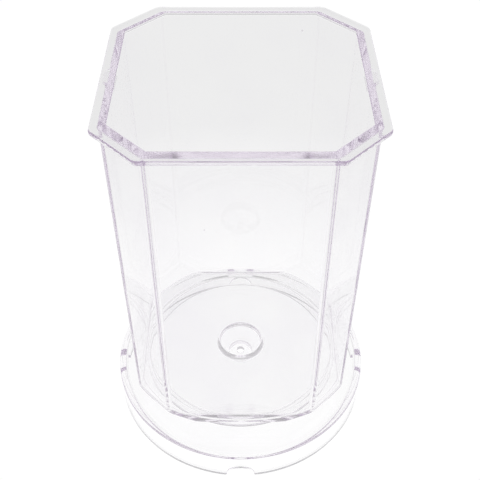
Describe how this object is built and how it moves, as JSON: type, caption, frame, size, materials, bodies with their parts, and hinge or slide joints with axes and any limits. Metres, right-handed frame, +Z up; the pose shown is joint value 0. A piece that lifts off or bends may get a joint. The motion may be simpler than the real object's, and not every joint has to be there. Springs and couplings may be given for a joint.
{
  "type": "candle mould",
  "caption": "Clear eight-sided candle mould with a flanged mouth and a wick hole in its domed tip, standing on a loose round stand.",
  "frame": {"origin": "centre of the stand's underside, on the mould's axis", "axes": "+Z up the mould's axis, out of its mouth; X runs between the two rim sides that carry a lug"},
  "size_m": [0.0836, 0.0836, 0.1222],
  "materials": {
    "clear_cup": "polished clear moulded plastic",
    "clear_stand": "polished clear moulded plastic"
  },
  "bodies": {
    "stand": {"stand": "clear_stand"},
    "mould": {"mould_body": "clear_cup"}
  },
  "joints": [
    {"name": "mould_lift", "type": "slide", "parent": "stand", "child": "mould", "axis": [0, 0, 1], "range_m": [0, 0.03]}
  ]
}
